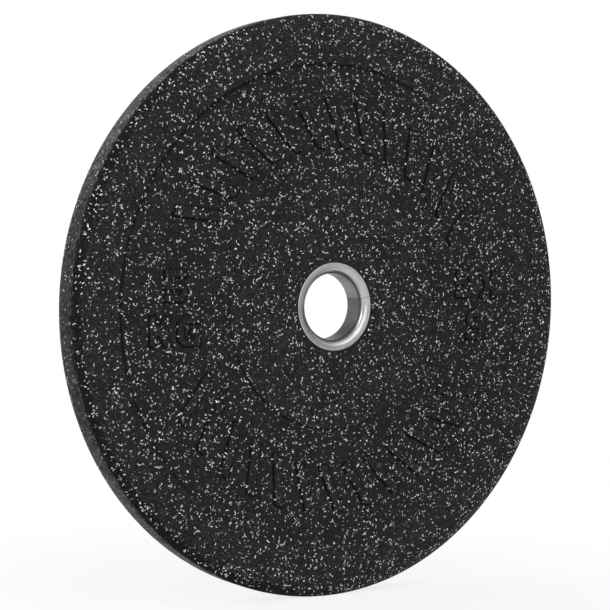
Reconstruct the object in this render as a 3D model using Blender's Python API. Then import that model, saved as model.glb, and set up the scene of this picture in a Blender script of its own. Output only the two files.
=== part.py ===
"""Rubber weight plate, 5 kg, for a bar with 50 mm sleeves.

A disc of moulded crumb rubber carries a steel hub. The hub is a rolled sleeve with a lip ring on
each end, and a perforated anchor plate round its middle, buried in the rubber.

Everything is modelled with the axis along local Z, front face up and marks upright along local Y.
The parent empty turns it up on its rim, so the front faces -Y and Z is up. The origin is the centre
of the bore, half way through the plate. Lengths are in metres.
"""

import math

import bpy
import bmesh
from mathutils import Matrix

# Rubber disc
PLATE_DIAMETER = 0.450
FACE_THICKNESS = 0.0236
RIM_BEVEL_RUN = 0.0075
RIM_BEVEL_DROP = 0.0021
TREAD_CORNER_RUN = 0.0007
TREAD_CORNER_DROP = 0.0009

# The face is sunk in a broad ring between the land along the rim and the boss round the hub
LAND_WIDTH = 0.0375
BOSS_DIAMETER = 0.189
RECESS_DEPTH = 0.0012
RECESS_WALL_RUN = 0.0019

# Hub sleeve
BORE_DIAMETER = 0.0514
SLEEVE_WALL = 0.0020
SLEEVE_END_ROUND = 0.0015

# Lip ring, measured outwards from its inner edge and inwards from its flat outer band
LIP_STAND = 0.0003
LIP_HEIGHT = 0.0029
LIP_STEP = 0.0010
LIP_BEAD_RADIUS = 0.0017
LIP_FLARE_WIDTH = 0.0042
LIP_SHOULDER_RUN = 0.0012
LIP_SHOULDER_DROP = 0.0007
LIP_BAND_WIDTH = 0.0032
LIP_BAND_THICKNESS = 0.0019
LIP_EDGE_ROUND = 0.0004
LIP_FOOT_OVERHANG = 0.0018
LIP_FOOT_SLOPE = 0.0010

# The seam where the rolled sleeve and lip rings meet themselves
SEAM_ANGLE = math.radians(13.5)
SEAM_GAP = 0.0003

# Anchor plate
ANCHOR_DIAMETER = 0.120
ANCHOR_THICKNESS = 0.0020
ANCHOR_HOLES = 8
ANCHOR_HOLE_DIAMETER = 0.012

# Raised ribs, in an arc above the hub and an arc below it
RIB_LENGTH = 0.0375
RIB_WIDTH = 0.0090
RIB_LEAN = math.radians(24)
RIB_COUNT = 13
RIB_ARC = math.radians(122)

# Raised weight marks, upright on the left and turned half round on the right
MARK_STROKE = 0.0060
MARK_CORNER = 0.0050
DIGIT_WIDTH = 0.0200
DIGIT_HEIGHT = 0.0240
UNIT_WIDTH = 0.0200
UNIT_HEIGHT = 0.0230
LETTER_SPACING = 0.0034
MARK_LINE_SPACING = 0.0097
MARK_RISE = -0.0019

# Clearance between touching pieces, and how far a raised form is rooted in the face
GAP = 0.0003
ROOT_DEPTH = 0.0012

# Facets and shading
DISC_STEPS = 90
HUB_STEPS = 48
HOLE_STEPS = 12
ARC_STEPS = 4
MERGE = 0.00001
SHARP_ANGLE = math.radians(28)

# Derived places
RIM_RADIUS = PLATE_DIAMETER / 2
LAND_RADIUS = RIM_RADIUS - LAND_WIDTH
BOSS_RADIUS = BOSS_DIAMETER / 2
RELIEF_RADIUS = (LAND_RADIUS + BOSS_RADIUS) / 2
FACE = FACE_THICKNESS / 2
FLOOR = FACE - RECESS_DEPTH
BORE_RADIUS = BORE_DIAMETER / 2
SLEEVE_RADIUS = BORE_RADIUS + SLEEVE_WALL
LIP_TOP = FACE + LIP_STAND
LIP_FOOT = LIP_TOP - LIP_HEIGHT
LIP_UNDERSIDE = LIP_TOP - LIP_BAND_THICKNESS
LIP_INNER_RADIUS = BORE_RADIUS + LIP_STEP
LIP_RADIUS = LIP_INNER_RADIUS + LIP_FLARE_WIDTH + LIP_BAND_WIDTH
LIP_FOOT_RADIUS = SLEEVE_RADIUS + LIP_FOOT_OVERHANG
SLEEVE_END = LIP_FOOT - GAP


def clear_scene():
    for thing in list(bpy.data.objects):
        bpy.data.objects.remove(thing, do_unlink=True)


def material(name, colour, roughness, metallic):
    made = bpy.data.materials.new(name)
    made.use_nodes = True
    shader = made.node_tree.nodes["Principled BSDF"]
    shader.inputs["Base Color"].default_value = (*colour, 1.0)
    shader.inputs["Roughness"].default_value = roughness
    shader.inputs["Metallic"].default_value = metallic
    return made


def place(name, mesh, frame, finish=None):
    thing = bpy.data.objects.new(name, mesh)
    bpy.context.scene.collection.objects.link(thing)
    thing.parent = frame
    if finish:
        mesh.materials.append(finish)
    return thing


def mesh_from(name, shape):
    mesh = bpy.data.meshes.new(name)
    shape.to_mesh(mesh)
    shape.free()
    return mesh


def as_tool(thing):
    """A cutter or a form that only feeds a Boolean."""
    thing.hide_render = True
    thing.display_type = "WIRE"
    return thing


def combine(thing, tool, operation):
    modifier = thing.modifiers.new(tool.name, "BOOLEAN")
    modifier.operation = operation
    modifier.solver = "EXACT"
    modifier.object = tool


def settle(thing):
    """Makes the modifiers' result the object's own mesh, smooth except at its hard edges."""
    shown = thing.evaluated_get(bpy.context.evaluated_depsgraph_get())
    mesh = bpy.data.meshes.new_from_object(shown)
    mesh.name = thing.name
    thing.modifiers.clear()
    thing.data = mesh
    mesh.shade_smooth()
    mesh.set_sharp_from_angle(angle=SHARP_ANGLE)


def turned(name, outline, steps, frame, finish=None):
    """A closed outline of (radius, height) points, outer side downwards, turned about Z."""
    mesh = bpy.data.meshes.new(name)
    count = len(outline)
    points = [(radius, 0.0, height) for radius, height in outline]
    mesh.from_pydata(points, [(i, (i + 1) % count) for i in range(count)], [])
    thing = place(name, mesh, frame, finish)
    screw = thing.modifiers.new("Turn", "SCREW")
    screw.axis = "Z"
    screw.steps = steps
    screw.render_steps = steps
    screw.use_merge_vertices = True
    screw.merge_threshold = MERGE
    return thing


def arc(centre_radius, centre_height, radius, start, end):
    """Points on an arc in the outline's plane, angles in degrees from straight outwards."""
    points = []
    for i in range(ARC_STEPS + 1):
        angle = math.radians(start + (end - start) * i / ARC_STEPS)
        points.append((centre_radius + radius * math.cos(angle),
                       centre_height + radius * math.sin(angle)))
    return points


def both_sides(front):
    """The front half of an outline, inner edge to outer, closed with its mirror image."""
    return front + [(radius, -height) for radius, height in reversed(front)]


def prism(shape, outline, low, high, turn):
    """Adds a straight block over an outline of (x, y) points, moved by a matrix."""
    base = [shape.verts.new((x, y, low)) for x, y in outline]
    face = shape.faces.new(base)
    face.normal_update()
    if face.normal.z > 0:
        face.normal_flip()
    grown = bmesh.ops.extrude_face_region(shape, geom=[face], use_keep_orig=True)
    top = [item for item in grown["geom"] if isinstance(item, bmesh.types.BMVert)]
    bmesh.ops.translate(shape, verts=top, vec=(0.0, 0.0, high - low))
    bmesh.ops.transform(shape, matrix=turn, verts=base + top)


def rib_outline():
    """A rib centred on +X in the middle of the sunk ring, leaning one way."""
    inner = RELIEF_RADIUS - RIB_LENGTH / 2
    outer = RELIEF_RADIUS + RIB_LENGTH / 2
    lean = math.tan(RIB_LEAN) * RIB_LENGTH / 2
    half = RIB_WIDTH / 2
    return [(inner, -lean - half), (outer, lean - half), (outer, lean + half), (inner, half - lean)]


def digit_five():
    """A square five with a cut corner on its bowl."""
    w, h, s, c = DIGIT_WIDTH, DIGIT_HEIGHT, MARK_STROKE, MARK_CORNER
    bowl_top = (h + s) / 2
    bowl_under = bowl_top - s
    return [(0, 0), (w - c, 0), (w, c), (w, bowl_top - c), (w - c, bowl_top), (s, bowl_top),
            (s, h - s), (w, h - s), (w, h), (0, h), (0, bowl_under), (w - s, bowl_under), (w - s, s),
            (0, s)]


def letter_k():
    """An upright stem with two arms that spread from mid height."""
    w, h, s = UNIT_WIDTH, UNIT_HEIGHT, MARK_STROKE
    arm = 1.25 * s
    join_low = 0.30 * h
    join_high = 0.60 * h
    leg_turn = (1.3 * s, 0.38 * h)
    crotch = (0.62 * w, 0.56 * h)
    return [(0, 0), (s, 0), (s, join_low), leg_turn, (w - arm, 0), (w, 0), crotch, (w, h),
            (w - arm, h), (s, join_high), (s, h), (0, h)]


def letter_g():
    """An open loop with cut corners and a short bar turned into it."""
    w, h, s, c = UNIT_WIDTH, UNIT_HEIGHT, MARK_STROKE, MARK_CORNER
    inner = 0.4 * c
    bar_top = 0.56 * h
    bar_low = 0.36 * h
    bar_start = 0.52 * w
    return [(c, 0), (w, 0), (w, bar_top), (bar_start, bar_top), (bar_start, bar_low),
            (w - s, bar_low), (w - s, s), (s + inner, s), (s, s + inner), (s, h - s - inner),
            (s + inner, h - s), (w, h - s), (w, h), (c, h), (0, h - c), (0, c)]


def weight_mark(shape, low, high, turn):
    """The digit over its unit, centred in the sunk ring at the left of the face."""
    digit_base = MARK_RISE + MARK_LINE_SPACING / 2
    unit_base = digit_base - MARK_LINE_SPACING - UNIT_HEIGHT
    digit = Matrix.Translation((-RELIEF_RADIUS - DIGIT_WIDTH / 2, digit_base, 0.0))
    prism(shape, digit_five(), low, high, turn @ digit)
    first = Matrix.Translation((-RELIEF_RADIUS - UNIT_WIDTH - LETTER_SPACING / 2, unit_base, 0.0))
    prism(shape, letter_k(), low, high, turn @ first)
    second = Matrix.Translation((-RELIEF_RADIUS + LETTER_SPACING / 2, unit_base, 0.0))
    prism(shape, letter_g(), low, high, turn @ second)


def raised_forms(frame):
    """Ribs and marks on both faces, rooted below the sunk floor and level with the land."""
    forms = bmesh.new()
    low = FLOOR - ROOT_DEPTH
    for side in (0, 1):
        over = Matrix.Rotation(math.pi * side, 4, "Y")
        for half_turn in (0, 1):
            turn = over @ Matrix.Rotation(math.pi * half_turn, 4, "Z")
            weight_mark(forms, low, FACE, turn)
            for i in range(RIB_COUNT):
                angle = math.pi / 2 + RIB_ARC * (i / (RIB_COUNT - 1) - 0.5)
                prism(forms, rib_outline(), low, FACE, turn @ Matrix.Rotation(angle, 4, "Z"))
    return as_tool(place("raised_forms", mesh_from("raised_forms", forms), frame))


def rubber_outline():
    """From the hub's seat across the front face to the tread, and back."""
    half_tread = FACE - RIM_BEVEL_DROP
    front = [
        (SLEEVE_RADIUS + GAP, LIP_FOOT - GAP),
        (LIP_FOOT_RADIUS + GAP, LIP_FOOT - GAP),
        (LIP_FOOT_RADIUS + LIP_FOOT_SLOPE + GAP, LIP_UNDERSIDE - GAP),
        (LIP_RADIUS + GAP, LIP_UNDERSIDE - GAP),
        (LIP_RADIUS + GAP, FACE),
        (BOSS_RADIUS, FACE),
        (BOSS_RADIUS + RECESS_WALL_RUN, FLOOR),
        (LAND_RADIUS - RECESS_WALL_RUN, FLOOR),
        (LAND_RADIUS, FACE),
        (RIM_RADIUS - RIM_BEVEL_RUN, FACE),
        (RIM_RADIUS - TREAD_CORNER_RUN, half_tread),
        (RIM_RADIUS, half_tread - TREAD_CORNER_DROP),
    ]
    return both_sides(front)


def anchor_form(name, frame, grow, inner_radius, finish=None):
    """The perforated plate. As a cutter it's grown all over, with its holes drawn in to match."""
    half = ANCHOR_THICKNESS / 2 + grow
    outer_radius = ANCHOR_DIAMETER / 2
    hole_radius = ANCHOR_HOLE_DIAMETER / 2 - grow
    hole_circle = (SLEEVE_RADIUS + outer_radius) / 2
    outline = both_sides([(inner_radius, half), (outer_radius + grow, half)])
    plate = turned(name, outline, HUB_STEPS, frame, finish)
    holes = bmesh.new()
    for i in range(ANCHOR_HOLES):
        turn = Matrix.Rotation(math.tau * (i + 0.5) / ANCHOR_HOLES, 4, "Z")
        bmesh.ops.create_cone(holes, cap_ends=True, segments=HOLE_STEPS, radius1=hole_radius,
                              radius2=hole_radius, depth=4 * half,
                              matrix=turn @ Matrix.Translation((hole_circle, 0.0, 0.0)))
    cutter = as_tool(place(name + "_holes", mesh_from(name + "_holes", holes), frame))
    combine(plate, cutter, "DIFFERENCE")
    return plate


def seam_cutter(frame):
    """A thin blade through the hub's wall, where the rolled pieces meet themselves."""
    blade = bmesh.new()
    start = BORE_RADIUS - LIP_BAND_WIDTH
    end = LIP_RADIUS + LIP_BAND_WIDTH
    turn = Matrix.Rotation(SEAM_ANGLE, 4, "Z")
    middle = Matrix.Translation(((start + end) / 2, 0.0, 0.0))
    size = Matrix.Diagonal((end - start, SEAM_GAP, 2 * FACE_THICKNESS, 1.0))
    bmesh.ops.create_cube(blade, size=1.0, matrix=turn @ middle @ size)
    return as_tool(place("hub_seam", mesh_from("hub_seam", blade), frame))


def sleeve_outline():
    """A tube whose ends are rounded on the inside, where the bar's sleeve enters."""
    r = SLEEVE_END_ROUND
    rounded = arc(BORE_RADIUS + r, SLEEVE_END - r, r, 180, 90)
    return both_sides(rounded + [(SLEEVE_RADIUS, SLEEVE_END)])


def lip_outline():
    """From the inner bead up over the shoulder, across the flat band and back underneath."""
    shoulder = LIP_INNER_RADIUS + LIP_FLARE_WIDTH
    edge_centre = LIP_RADIUS - LIP_EDGE_ROUND
    points = arc(LIP_INNER_RADIUS + LIP_BEAD_RADIUS, LIP_FOOT, LIP_BEAD_RADIUS, 180, 100)
    points.append((shoulder - LIP_SHOULDER_RUN, LIP_TOP - LIP_SHOULDER_DROP))
    points.append((shoulder, LIP_TOP))
    points += arc(edge_centre, LIP_TOP - LIP_EDGE_ROUND, LIP_EDGE_ROUND, 90, 0)
    points.append((LIP_RADIUS, LIP_UNDERSIDE))
    points.append((LIP_FOOT_RADIUS + LIP_FOOT_SLOPE, LIP_UNDERSIDE))
    points.append((LIP_FOOT_RADIUS, LIP_FOOT))
    return points


def build():
    clear_scene()
    rubber = material("black_crumb_rubber", (0.021, 0.021, 0.021), 0.8, 0.0)
    satin_steel = material("satin_steel", (0.48, 0.48, 0.48), 0.32, 1.0)
    plain_steel = material("plain_steel", (0.28, 0.28, 0.28), 0.5, 1.0)

    frame = bpy.data.objects.new("plate_frame", None)
    bpy.context.scene.collection.objects.link(frame)
    frame.rotation_euler = (math.pi / 2, 0.0, 0.0)

    disc = turned("rubber_disc", rubber_outline(), DISC_STEPS, frame, rubber)
    pocket = as_tool(anchor_form("anchor_pocket", frame, GAP, BORE_RADIUS))
    combine(disc, pocket, "DIFFERENCE")
    combine(disc, raised_forms(frame), "UNION")

    sleeve = turned("hub_sleeve", sleeve_outline(), HUB_STEPS, frame, satin_steel)
    front_lip = turned("front_lip_ring", lip_outline(), HUB_STEPS, frame, satin_steel)
    rear_lip = turned("rear_lip_ring", lip_outline(), HUB_STEPS, frame, satin_steel)
    rear_lip.rotation_euler = (math.pi, 0.0, 0.0)
    seam = seam_cutter(frame)
    for thing in (sleeve, front_lip, rear_lip):
        combine(thing, seam, "DIFFERENCE")

    anchor = anchor_form("anchor_plate", frame, 0.0, SLEEVE_RADIUS + GAP, plain_steel)
    for thing in (disc, sleeve, front_lip, rear_lip, anchor):
        settle(thing)


build()
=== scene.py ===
"""Rubber weight plate: its looks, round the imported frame.

The plate stands on its rim with its front facing -Y. The rubber, the sleeve and the two lip rings are
finer meshes that stand for their CAD nodes. Lengths of the plate are in millimetres until a mesh is
made.
"""

import math
import random

import bmesh
import bpy
import numpy as np
from mathutils import Matrix, Vector
from mathutils.geometry import delaunay_2d_cdt


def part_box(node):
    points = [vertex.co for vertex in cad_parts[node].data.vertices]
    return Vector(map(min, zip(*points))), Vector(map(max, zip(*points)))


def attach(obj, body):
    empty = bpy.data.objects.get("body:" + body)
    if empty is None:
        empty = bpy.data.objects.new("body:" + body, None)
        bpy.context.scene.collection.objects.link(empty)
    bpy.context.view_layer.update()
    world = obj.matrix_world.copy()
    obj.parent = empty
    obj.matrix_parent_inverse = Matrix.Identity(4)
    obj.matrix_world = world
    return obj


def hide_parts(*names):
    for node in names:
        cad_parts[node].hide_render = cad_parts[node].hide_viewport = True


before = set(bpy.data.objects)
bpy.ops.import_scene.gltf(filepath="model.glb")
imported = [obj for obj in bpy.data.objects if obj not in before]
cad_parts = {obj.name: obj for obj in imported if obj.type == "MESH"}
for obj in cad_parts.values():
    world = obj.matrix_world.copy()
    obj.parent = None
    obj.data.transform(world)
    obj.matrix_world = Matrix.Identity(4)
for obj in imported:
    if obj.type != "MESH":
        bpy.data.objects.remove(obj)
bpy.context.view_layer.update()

MM = 0.001
TINY = 1e-12

# Sizes read from the frame
DISC_LOW, DISC_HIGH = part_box("rubber_disc")
LIP_LOW, LIP_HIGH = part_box("front_lip_ring")
SLEEVE_LOW, SLEEVE_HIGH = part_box("hub_sleeve")
RIM_RADIUS = DISC_HIGH.x / MM
FACE = DISC_HIGH.y / MM
LIP_RADIUS = LIP_HIGH.x / MM
LIP_TOP = -LIP_LOW.y / MM
LIP_FOOT = -LIP_HIGH.y / MM
SLEEVE_RADIUS = SLEEVE_HIGH.x / MM
SLEEVE_END = SLEEVE_HIGH.y / MM

# Lip rings behind what shows, and the rubber's gap to the steel
LIP_THICKNESS = 1.9
LIP_FOOT_RADIUS = SLEEVE_RADIUS + 1.8
LIP_FOOT_CHAMFER = 1.0
GAP = 0.3

# Face of the disc
SEAT_RADIUS = LIP_RADIUS + GAP
RECESS_DEPTH = 1.2
FLOOR = FACE - RECESS_DEPTH
BOSS_RADIUS = 94.5
LAND_RADIUS = RIM_RADIUS - 37.5
RELIEF_RADIUS = (BOSS_RADIUS + LAND_RADIUS) / 2
RING_WALL_RUN = 1.4
BEVEL_RUN = 7.5
BEVEL_DROP = 2.1
BEVEL_START_ROUND = 0.5
CORNER_RUN = 0.7
CORNER_DROP = 0.9
FACE_EDGE_RADIUS = RIM_RADIUS - CORNER_RUN
HALF_TREAD = FACE - BEVEL_DROP - CORNER_DROP

# Raised forms
FORM_WALL_RUN = 2.0
RIB_LENGTH = 37.5
RIB_WIDTH = 9.0
RIB_LEAN = math.radians(24)
RIB_COUNT = 13
RIB_ARC = math.radians(122)
RIB_CORNER = 1.6
MARK_CORNER_ROUND = 1.1
MARK_STROKE = 6.0
MARK_CUT = 5.0
DIGIT_WIDTH = 20.0
DIGIT_HEIGHT = 24.0
UNIT_WIDTH = 20.0
UNIT_HEIGHT = 23.0
LETTER_SPACING = 3.4
MARK_LINE_SPACING = 9.7
MARK_RISE = -1.9

# Granules
FACE_GRANULES_PER_MM2 = 0.0595
TREAD_GRANULES_PER_MM2 = 0.034
GRANULE_TONES = (0.32, 0.57, 0.78, 0.93)
FACE_SHARES = (0.11, 0.20, 0.33, 0.36)
BEVEL_EXTRA = 0.03
TREAD_SHARES = (0.45, 0.30, 0.15, 0.10)
CRUMB_SHARE = 0.56
SLIVER_SHARE = 0.34
CRUMB_LEAST = 0.62
CRUMB_MOST = 1.15
SLIVER_LEAST = 1.2
SLIVER_MOST = 2.2
STRIP_LEAST = 0.45
STRIP_MOST = 0.80
LEAST_GRANULE_AREA = 0.12
SEED = 20

# Margins that keep the granules, or their middles where they are drawn, off the edges of a sheet
HUB_MARGIN = 0.3
RIM_MARGIN = 0.4
TREAD_MARGIN = 0.35
HUB_DRAW_MARGIN = 1.2
RIM_DRAW_MARGIN = 0.3
JOIN_DRAW_MARGIN = 2.5

# Steps round the disc, steps of the rim between two lines across the tread, and steps of a form's corner
EDGE_STEPS = 540
LAND_STEPS = 270
BOSS_STEPS = 180
SEAT_STEPS = 144
TREAD_LINE_STEPS = 4
CORNER_STEPS = 3

# Mesh of the rubber
SLOPE_STEP = 0.04
WELD_DISTANCE = 0.000005
NEAR = 0.01
CORNER_LEAN = 0.8
BRIM_LEAN = 0.35


def link(name, mesh):
    thing = bpy.data.objects.new(name, mesh)
    bpy.context.scene.collection.objects.link(thing)
    return thing


# Relief of the face

def ease(share):
    """A smooth step from 0 to 1."""
    t = np.clip(share, 0.0, 1.0)
    return t * t * (3.0 - 2.0 * t)


def filleted(corners, radius, shift):
    """A closed outline with its edges moved outwards by shift and its corners rounded, as an array."""
    points = []
    count = len(corners)
    for i in range(count):
        before = np.array(corners[i - 1], float)
        here = np.array(corners[i], float)
        after = np.array(corners[(i + 1) % count], float)
        inward = (here - before) / np.linalg.norm(here - before)
        onward = (after - here) / np.linalg.norm(after - here)
        cross = inward[0] * onward[1] - inward[1] * onward[0]
        turn = math.atan2(cross, float(inward @ onward))
        side = 1.0 if turn > 0 else -1.0
        normal_in = np.array((inward[1], -inward[0]))
        reach = radius * math.tan(abs(turn) / 2)
        centre = here - inward * reach - side * radius * normal_in
        swing = radius + side * shift
        for k in range(CORNER_STEPS + 1):
            angle = turn * k / CORNER_STEPS
            c, s = math.cos(angle), math.sin(angle)
            spoke = np.array((c * normal_in[0] - s * normal_in[1], s * normal_in[0] + c * normal_in[1]))
            points.append(centre + side * swing * spoke)
    return np.array(points)


def rib_corners():
    inner = RELIEF_RADIUS - RIB_LENGTH / 2
    outer = RELIEF_RADIUS + RIB_LENGTH / 2
    lean = math.tan(RIB_LEAN) * RIB_LENGTH / 2
    half = RIB_WIDTH / 2
    return [(inner, -lean - half), (outer, lean - half), (outer, lean + half), (inner, half - lean)]


def digit_five():
    w, h, s, c = DIGIT_WIDTH, DIGIT_HEIGHT, MARK_STROKE, MARK_CUT
    bowl_top = (h + s) / 2
    bowl_under = bowl_top - s
    return [(0, 0), (w - c, 0), (w, c), (w, bowl_top - c), (w - c, bowl_top), (s, bowl_top),
            (s, h - s), (w, h - s), (w, h), (0, h), (0, bowl_under), (w - s, bowl_under), (w - s, s),
            (0, s)]


def letter_k():
    w, h, s = UNIT_WIDTH, UNIT_HEIGHT, MARK_STROKE
    arm = 1.25 * s
    join_low = 0.30 * h
    join_high = 0.60 * h
    leg_turn = (1.3 * s, 0.38 * h)
    crotch = (0.62 * w, 0.56 * h)
    return [(0, 0), (s, 0), (s, join_low), leg_turn, (w - arm, 0), (w, 0), crotch, (w, h),
            (w - arm, h), (s, join_high), (s, h), (0, h)]


def letter_g():
    w, h, s, c = UNIT_WIDTH, UNIT_HEIGHT, MARK_STROKE, MARK_CUT
    inner = 0.4 * c
    bar_top = 0.56 * h
    bar_low = 0.36 * h
    bar_start = 0.52 * w
    return [(c, 0), (w, 0), (w, bar_top), (bar_start, bar_top), (bar_start, bar_low),
            (w - s, bar_low), (w - s, s), (s + inner, s), (s, s + inner), (s, h - s - inner),
            (s + inner, h - s), (w, h - s), (w, h), (c, h), (0, h - c), (0, c)]


def raised_outlines():
    """Each raised form as its corners and corner radius, ribs above and below, marks left and right."""
    forms = []
    digit_base = MARK_RISE + MARK_LINE_SPACING / 2
    unit_base = digit_base - MARK_LINE_SPACING - UNIT_HEIGHT
    glyphs = [
        (digit_five(), -RELIEF_RADIUS - DIGIT_WIDTH / 2, digit_base),
        (letter_k(), -RELIEF_RADIUS - UNIT_WIDTH - LETTER_SPACING / 2, unit_base),
        (letter_g(), -RELIEF_RADIUS + LETTER_SPACING / 2, unit_base),
    ]
    for half_turn in (1, -1):
        for corners, x, y in glyphs:
            moved = [(half_turn * (x + u), half_turn * (y + v)) for u, v in corners]
            forms.append((moved, MARK_CORNER_ROUND))
        for i in range(RIB_COUNT):
            angle = half_turn * math.pi / 2 + RIB_ARC * (i / (RIB_COUNT - 1) - 0.5)
            c, s = math.cos(angle), math.sin(angle)
            moved = [(c * u - s * v, s * u + c * v) for u, v in rib_corners()]
            forms.append((moved, RIB_CORNER))
    return forms


FORMS = raised_outlines()
FORM_OUTLINES = [filleted(corners, radius, 0.0) for corners, radius in FORMS]


def depth_inside(points, outline):
    """Signed distance to a closed outline, positive inside, for an array of points."""
    along = np.roll(outline, -1, axis=0) - outline
    length2 = np.maximum((along ** 2).sum(1), TINY)
    offset = points[:, None, :] - outline[None, :, :]
    share = np.clip((offset * along).sum(2) / length2, 0.0, 1.0)
    nearest = offset - share[..., None] * along
    distance = np.sqrt((nearest ** 2).sum(2).min(1))
    ends = outline + along
    crosses = (outline[:, 1] > points[:, None, 1]) != (ends[:, 1] > points[:, None, 1])
    rise = np.where(np.abs(along[:, 1]) < TINY, TINY, along[:, 1])
    x_there = outline[:, 0] + along[:, 0] * (points[:, None, 1] - outline[:, 1]) / rise
    inside = (crosses & (points[:, None, 0] < x_there)).sum(1) % 2 == 1
    return np.where(inside, distance, -distance)


def ring_height(radius):
    """Height of the face at a radius, before the raised forms."""
    boss = 1.0 - ease((radius - BOSS_RADIUS) / RING_WALL_RUN)
    land = ease((radius - (LAND_RADIUS - RING_WALL_RUN)) / RING_WALL_RUN)
    height = FLOOR + RECESS_DEPTH * np.maximum(boss, land)
    over = radius - (RIM_RADIUS - BEVEL_RUN)
    slope = BEVEL_DROP / (BEVEL_RUN - CORNER_RUN)
    r = BEVEL_START_ROUND
    rounded = np.where(over > r, over, (over + r) ** 2 / (4 * r))
    return height - slope * np.where(over > -r, rounded, 0.0)


def face_height(points):
    """Height of the front face over points given as (right, up) from the bore's centre."""
    height = ring_height(np.hypot(points[:, 0], points[:, 1]))
    half = FORM_WALL_RUN / 2
    for outline in FORM_OUTLINES:
        low = outline.min(0) - half
        high = outline.max(0) + half
        near = np.nonzero(((points > low) & (points < high)).all(1))[0]
        if len(near):
            depth = depth_inside(points[near], outline)
            raised = FLOOR + RECESS_DEPTH * ease((depth + half) / FORM_WALL_RUN)
            height[near] = np.maximum(height[near], raised)
    return height


def face_normals(points):
    """Unit normals of the front face, by differences of its height."""
    across = np.array((SLOPE_STEP, 0.0))
    upward = np.array((0.0, SLOPE_STEP))
    slope_x = (face_height(points + across) - face_height(points - across)) / (2 * SLOPE_STEP)
    slope_z = (face_height(points + upward) - face_height(points - upward)) / (2 * SLOPE_STEP)
    normals = np.stack([-slope_x, -np.ones(len(points)), -slope_z], axis=1)
    return normals / np.linalg.norm(normals, axis=1)[:, None]


# Granules in the rubber, drawn as patches of its surface

def placed(x, y, turn, outline):
    """An outline turned and moved to (x, y)."""
    c, s = math.cos(turn), math.sin(turn)
    return [(x + u * c - v * s, y + u * s + v * c) for u, v in outline]


def crumb(rng):
    """A chip with three or four uneven corners."""
    corners = rng.choice((3, 4, 4))
    size = rng.uniform(CRUMB_LEAST, CRUMB_MOST) / 2
    start = rng.uniform(0, math.tau)
    outline = []
    for i in range(corners):
        angle = start + math.tau * (i + rng.uniform(-0.2, 0.2)) / corners
        reach = size * rng.uniform(0.90, 1.40)
        outline.append((reach * math.cos(angle), 0.85 * reach * math.sin(angle)))
    return outline


def sliver(rng):
    """A short strip with slanted ends."""
    length = rng.uniform(SLIVER_LEAST, SLIVER_MOST) / 2
    width = rng.uniform(STRIP_LEAST, STRIP_MOST) / 2
    slant = rng.uniform(-0.5, 0.5) * width
    taper = rng.uniform(0.5, 1.0)
    return [(-length - slant, -width * taper), (length - slant, -width),
            (length + slant, width * taper), (-length + slant, width)]


def crooked(rng):
    """A strip bent in the middle."""
    first = rng.uniform(SLIVER_LEAST, SLIVER_MOST) * 0.6
    second = rng.uniform(SLIVER_LEAST, SLIVER_MOST) * 0.6
    width = rng.uniform(STRIP_LEAST, STRIP_MOST) / 2
    bend = rng.choice((-1, 1)) * rng.uniform(0.6, 1.7)
    c, s = math.cos(bend), math.sin(bend)
    lean = width * math.tan(abs(bend) / 2)
    side = 1 if bend > 0 else -1
    outer = (lean, -side * width)
    inner = (-lean, side * width)
    return [(-first, -side * width), outer,
            (second * c + side * width * s, second * s - side * width * c),
            (second * c - side * width * s, second * s + side * width * c),
            inner, (-first, side * width)][::side]


def granule(rng, x, y):
    """A crumb, a sliver or a crooked strip, turned at random about (x, y)."""
    kind = rng.random()
    if kind < CRUMB_SHARE:
        outline = crumb(rng)
    elif kind < CRUMB_SHARE + SLIVER_SHARE:
        outline = sliver(rng)
    else:
        outline = crooked(rng)
    return placed(x, y, rng.uniform(0, math.tau), outline)


def outline_area(outline):
    after = outline[1:] + outline[:1]
    return sum(x * q - p * y for (x, y), (p, q) in zip(outline, after)) / 2


def scatter(rng, count, shares, draw, hold):
    """Granule outlines and tones. draw gives a random place, hold keeps a point within the sheet."""
    outlines = []
    tones = []
    for _ in range(int(count)):
        x, y = draw(rng)
        tone = rng.choices(range(len(GRANULE_TONES)), shares)[0]
        outline = [hold(*point) for point in granule(rng, x, y)]
        if outline_area(outline) > LEAST_GRANULE_AREA:
            outlines.append(outline)
            tones.append(tone)
    return outlines, tones


def triangulate(rings, open_lines, outlines, tones):
    """Triangles over the plane through closed rings, open lines and granule outlines.

    Returns points, triangles and each triangle's tone, or -1 for plain rubber."""
    points = []
    edges = []
    faces = []
    for ring in rings:
        first = len(points)
        points.extend(Vector(p) for p in ring)
        edges.extend((first + i, first + (i + 1) % len(ring)) for i in range(len(ring)))
    for line in open_lines:
        first = len(points)
        points.extend(Vector(p) for p in line)
        edges.extend((first + i, first + i + 1) for i in range(len(line) - 1))
    for outline in outlines:
        first = len(points)
        points.extend(Vector(p) for p in outline)
        faces.append(list(range(first, first + len(outline))))
    made = delaunay_2d_cdt(points, edges, faces, 0, 1e-4, True)
    places = np.array([tuple(p) for p in made[0]])
    triangles = np.array([tuple(f) for f in made[2]])
    middles = places[triangles].mean(1)
    boxes = [(*np.min(outline, axis=0), *np.max(outline, axis=0)) for outline in outlines]
    tone = np.full(len(triangles), -1)
    for i, owners in enumerate(made[5]):
        x, y = middles[i]
        for owner in owners:
            left, low, right, high = boxes[owner]
            if left < x < right and low < y < high:
                tone[i] = tones[owner]
                break
    return places, triangles, tone


def circle(radius, steps):
    """Points evenly round a circle."""
    return [(radius * math.cos(math.tau * i / steps), radius * math.sin(math.tau * i / steps))
            for i in range(steps)]


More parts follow.
